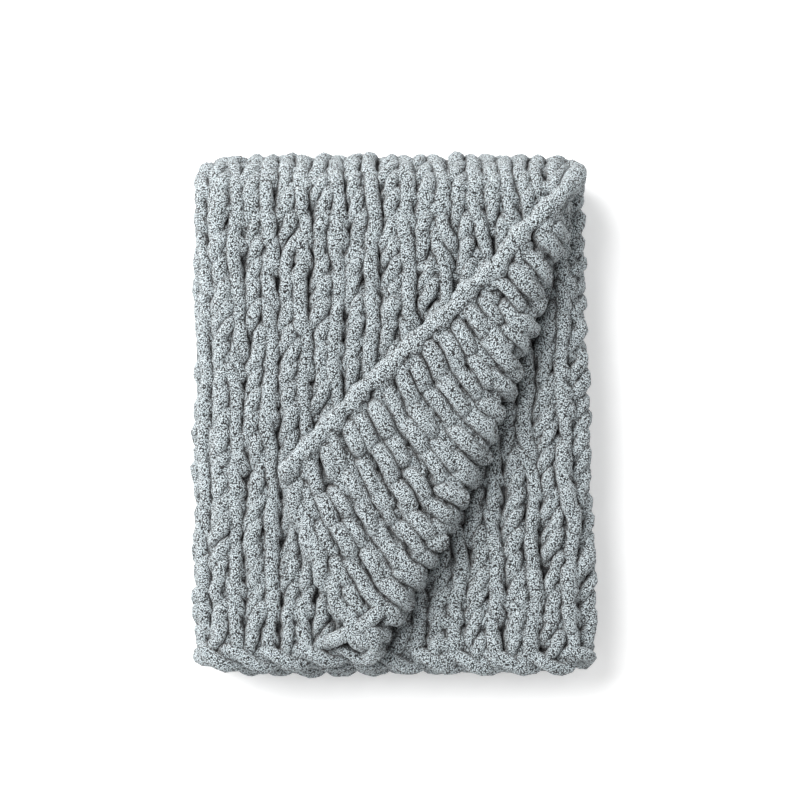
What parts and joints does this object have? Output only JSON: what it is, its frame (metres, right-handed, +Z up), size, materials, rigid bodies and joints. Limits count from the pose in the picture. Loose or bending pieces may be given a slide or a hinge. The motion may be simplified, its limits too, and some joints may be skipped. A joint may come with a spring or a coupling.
{
  "type": "folded chunky knit blanket",
  "caption": "Chunky chenille knit throw, folded in thirds and once more end to end, with one corner of its top layer turned back.",
  "frame": {"origin": "middle of the footprint, on the surface that the folded blanket lies on", "axes": "+Z up, +Y along the ribs from the open end to the end fold, +X across the ribs"},
  "size_m": [0.5042, 0.6512, 0.2008],
  "materials": {
    "chenille_yarn": "brushed chenille pile, matt"
  },
  "bodies": {
    "root": {"blanket": "chenille_yarn"}
  },
  "joints": []
}
